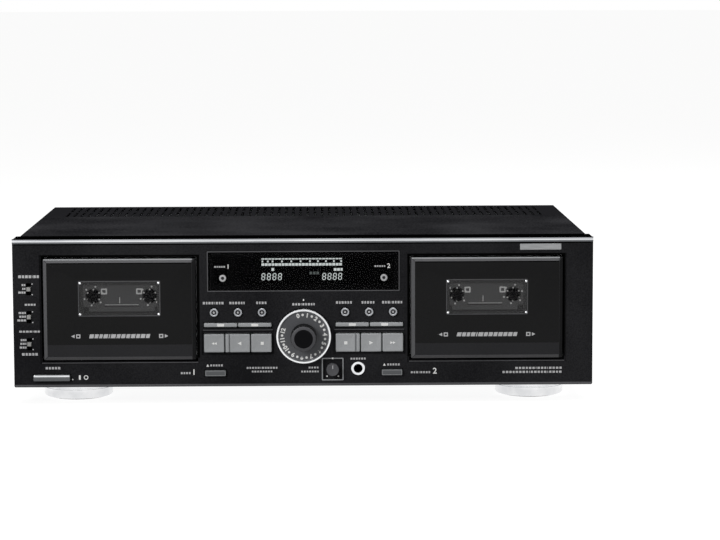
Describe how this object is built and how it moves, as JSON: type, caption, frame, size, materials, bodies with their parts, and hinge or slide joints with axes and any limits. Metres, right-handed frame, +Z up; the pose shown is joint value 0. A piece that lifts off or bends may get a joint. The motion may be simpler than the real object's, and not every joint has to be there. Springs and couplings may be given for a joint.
{
  "type": "double cassette deck",
  "caption": "Free-standing double cassette deck: wide front panel with hinged cassette doors, display, keys and a round level dial, under a folded sheet cover.",
  "frame": {"origin": "middle of the deck's box in X and Y, on the surface its feet stand on", "axes": "+X to the right along the front, +Y to the back, +Z up; the front panel faces -Y"},
  "size_m": [0.435, 0.3084, 0.1245],
  "materials": {
    "panel_plastic": "satin moulded",
    "trim_aluminium": "brushed",
    "cover_paint": "fine textured paint",
    "tray_steel": "zinc plated",
    "display_lens": "gloss",
    "display_glass": "clear",
    "circuit_board": "solder mask",
    "transformer_tape": "taped",
    "black_plastic": "moulded",
    "chrome": "plated",
    "foot_chrome": "bright",
    "door_plastic": "satin",
    "smoked_lens": "smoked",
    "mechanism_steel": "plated",
    "key_plastic": "silver painted",
    "button_plastic": "satin",
    "dial_aluminium": "turned",
    "switch_plastic": "satin"
  },
  "bodies": {
    "deck": {"front_panel": "panel_plastic", "top_trim": "trim_aluminium", "top_cover": "cover_paint", "chassis_tray": "tray_steel", "rear_panel": "tray_steel", "display_lens": "display_lens", "display_tube": "display_glass", "key_board": "circuit_board", "main_board": "circuit_board", "power_transformer": "transformer_tape", "mains_inlet": "black_plastic", "line_jacks": "black_plastic", "headphone_jack": "chrome", "foot_front_left": "foot_chrome", "foot_front_right": "foot_chrome", "foot_rear_left": "foot_chrome", "foot_rear_right": "foot_chrome", "transport_plate_left": "mechanism_steel", "transport_plate_right": "mechanism_steel", "drive_motor_left": "mechanism_steel", "drive_motor_right": "mechanism_steel"},
    "door_left": {"door_left": "door_plastic", "door_lens_left": "smoked_lens", "cassette_holder_left": "black_plastic"},
    "door_right": {"door_right": "door_plastic", "door_lens_right": "smoked_lens", "cassette_holder_right": "black_plastic"},
    "head_carriage_left": {"head_carriage_left": "mechanism_steel"},
    "head_carriage_right": {"head_carriage_right": "mechanism_steel"},
    "level_dial": {"level_dial": "dial_aluminium"},
    "level_knob": {"level_knob": "dial_aluminium"},
    "pitch_knob": {"pitch_knob": "button_plastic"},
    "supply_hub_left": {"supply_hub_left": "black_plastic"},
    "takeup_hub_left": {"takeup_hub_left": "black_plastic"},
    "supply_hub_right": {"supply_hub_right": "black_plastic"},
    "takeup_hub_right": {"takeup_hub_right": "black_plastic"},
    "mode_switch_upper": {"mode_switch_upper": "switch_plastic"},
    "mode_switch_middle": {"mode_switch_middle": "switch_plastic"},
    "mode_switch_lower": {"mode_switch_lower": "switch_plastic"},
    "power_button": {"power_button": "trim_aluminium"},
    "eject_button_left": {"eject_button_left": "key_plastic"},
    "eject_button_right": {"eject_button_right": "key_plastic"},
    "large_key_1": {"large_key_1": "key_plastic"},
    "large_key_2": {"large_key_2": "key_plastic"},
    "large_key_3": {"large_key_3": "key_plastic"},
    "large_key_4": {"large_key_4": "key_plastic"},
    "large_key_5": {"large_key_5": "key_plastic"},
    "large_key_6": {"large_key_6": "key_plastic"},
    "slim_key_left_inner": {"slim_key_left_inner": "key_plastic"},
    "slim_key_left_outer": {"slim_key_left_outer": "key_plastic"},
    "slim_key_right_inner": {"slim_key_right_inner": "key_plastic"},
    "slim_key_right_outer": {"slim_key_right_outer": "key_plastic"},
    "function_button_1": {"function_button_1": "button_plastic"},
    "function_button_2": {"function_button_2": "button_plastic"},
    "function_button_3": {"function_button_3": "button_plastic"},
    "function_button_4": {"function_button_4": "button_plastic"},
    "function_button_5": {"function_button_5": "button_plastic"},
    "function_button_6": {"function_button_6": "button_plastic"},
    "reset_button_left": {"reset_button_left": "button_plastic"},
    "reset_button_right": {"reset_button_right": "button_plastic"}
  },
  "joints": [
    {"name": "door_left_hinge", "type": "hinge", "parent": "deck", "child": "door_left", "pos_m": [-0.1377, -0.13155, 0.0349], "axis": [1, 0, 0], "range_deg": [0, 25]},
    {"name": "door_right_hinge", "type": "hinge", "parent": "deck", "child": "door_right", "pos_m": [0.1377, -0.13155, 0.0349], "axis": [1, 0, 0], "range_deg": [0, 25]},
    {"name": "head_carriage_left_slide", "type": "slide", "parent": "deck", "child": "head_carriage_left", "axis": [0, 0, 1], "range_m": [0, 0.0085]},
    {"name": "head_carriage_right_slide", "type": "slide", "parent": "deck", "child": "head_carriage_right", "axis": [0, 0, 1], "range_m": [0, 0.0085]},
    {"name": "level_dial_turn", "type": "hinge", "parent": "deck", "child": "level_dial", "pos_m": [0, -0.13875, 0.0507], "axis": [0, 1, 0], "range_deg": [-285, 15]},
    {"name": "level_knob_turn", "type": "hinge", "parent": "deck", "child": "level_knob", "pos_m": [0, -0.14675, 0.0507], "axis": [0, 1, 0], "range_deg": [-150, 150]},
    {"name": "pitch_knob_turn", "type": "hinge", "parent": "deck", "child": "pitch_knob", "pos_m": [0.0217, -0.13775, 0.0253], "axis": [0, 1, 0], "range_deg": [-135, 135]},
    {"name": "supply_hub_left_spin", "type": "hinge", "parent": "deck", "child": "supply_hub_left", "pos_m": [-0.15895, -0.11425, 0.079], "axis": [0, 1, 0], "continuous": true},
    {"name": "takeup_hub_left_spin", "type": "hinge", "parent": "deck", "child": "takeup_hub_left", "pos_m": [-0.11645, -0.11425, 0.079], "axis": [0, 1, 0], "continuous": true},
    {"name": "supply_hub_right_spin", "type": "hinge", "parent": "deck", "child": "supply_hub_right", "pos_m": [0.11645, -0.11425, 0.079], "axis": [0, 1, 0], "continuous": true},
    {"name": "takeup_hub_right_spin", "type": "hinge", "parent": "deck", "child": "takeup_hub_right", "pos_m": [0.15895, -0.11425, 0.079], "axis": [0, 1, 0], "continuous": true},
    {"name": "mode_switch_upper_slide", "type": "slide", "parent": "deck", "child": "mode_switch_upper", "axis": [0, 0, 1], "range_m": [-0.0026, 0.0026]},
    {"name": "mode_switch_middle_slide", "type": "slide", "parent": "deck", "child": "mode_switch_middle", "axis": [0, 0, 1], "range_m": [-0.0026, 0.0026]},
    {"name": "mode_switch_lower_slide", "type": "slide", "parent": "deck", "child": "mode_switch_lower", "axis": [0, 0, 1], "range_m": [-0.0026, 0.0026]},
    {"name": "power_button_press", "type": "slide", "parent": "deck", "child": "power_button", "axis": [0, 1, 0], "range_m": [0, 0.0025], "stiffness_N_per_m": 250},
    {"name": "eject_button_left_press", "type": "slide", "parent": "deck", "child": "eject_button_left", "axis": [0, 1, 0], "range_m": [0, 0.0025], "stiffness_N_per_m": 250},
    {"name": "eject_button_right_press", "type": "slide", "parent": "deck", "child": "eject_button_right", "axis": [0, 1, 0], "range_m": [0, 0.0025], "stiffness_N_per_m": 250},
    {"name": "large_key_1_press", "type": "slide", "parent": "deck", "child": "large_key_1", "axis": [0, 1, 0], "range_m": [0, 0.0015], "stiffness_N_per_m": 250},
    {"name": "large_key_2_press", "type": "slide", "parent": "deck", "child": "large_key_2", "axis": [0, 1, 0], "range_m": [0, 0.0015], "stiffness_N_per_m": 250},
    {"name": "large_key_3_press", "type": "slide", "parent": "deck", "child": "large_key_3", "axis": [0, 1, 0], "range_m": [0, 0.0015], "stiffness_N_per_m": 250},
    {"name": "large_key_4_press", "type": "slide", "parent": "deck", "child": "large_key_4", "axis": [0, 1, 0], "range_m": [0, 0.0015], "stiffness_N_per_m": 250},
    {"name": "large_key_5_press", "type": "slide", "parent": "deck", "child": "large_key_5", "axis": [0, 1, 0], "range_m": [0, 0.0015], "stiffness_N_per_m": 250},
    {"name": "large_key_6_press", "type": "slide", "parent": "deck", "child": "large_key_6", "axis": [0, 1, 0], "range_m": [0, 0.0015], "stiffness_N_per_m": 250},
    {"name": "slim_key_left_inner_press", "type": "slide", "parent": "deck", "child": "slim_key_left_inner", "axis": [0, 1, 0], "range_m": [0, 0.0015], "stiffness_N_per_m": 250},
    {"name": "slim_key_left_outer_press", "type": "slide", "parent": "deck", "child": "slim_key_left_outer", "axis": [0, 1, 0], "range_m": [0, 0.0015], "stiffness_N_per_m": 250},
    {"name": "slim_key_right_inner_press", "type": "slide", "parent": "deck", "child": "slim_key_right_inner", "axis": [0, 1, 0], "range_m": [0, 0.0015], "stiffness_N_per_m": 250},
    {"name": "slim_key_right_outer_press", "type": "slide", "parent": "deck", "child": "slim_key_right_outer", "axis": [0, 1, 0], "range_m": [0, 0.0015], "stiffness_N_per_m": 250},
    {"name": "function_button_1_press", "type": "slide", "parent": "deck", "child": "function_button_1", "axis": [0, 1, 0], "range_m": [0, 0.001], "stiffness_N_per_m": 250},
    {"name": "function_button_2_press", "type": "slide", "parent": "deck", "child": "function_button_2", "axis": [0, 1, 0], "range_m": [0, 0.001], "stiffness_N_per_m": 250},
    {"name": "function_button_3_press", "type": "slide", "parent": "deck", "child": "function_button_3", "axis": [0, 1, 0], "range_m": [0, 0.001], "stiffness_N_per_m": 250},
    {"name": "function_button_4_press", "type": "slide", "parent": "deck", "child": "function_button_4", "axis": [0, 1, 0], "range_m": [0, 0.001], "stiffness_N_per_m": 250},
    {"name": "function_button_5_press", "type": "slide", "parent": "deck", "child": "function_button_5", "axis": [0, 1, 0], "range_m": [0, 0.001], "stiffness_N_per_m": 250},
    {"name": "function_button_6_press", "type": "slide", "parent": "deck", "child": "function_button_6", "axis": [0, 1, 0], "range_m": [0, 0.001], "stiffness_N_per_m": 250},
    {"name": "reset_button_left_press", "type": "slide", "parent": "deck", "child": "reset_button_left", "axis": [0, 1, 0], "range_m": [0, 0.001], "stiffness_N_per_m": 250},
    {"name": "reset_button_right_press", "type": "slide", "parent": "deck", "child": "reset_button_right", "axis": [0, 1, 0], "range_m": [0, 0.001], "stiffness_N_per_m": 250}
  ]
}
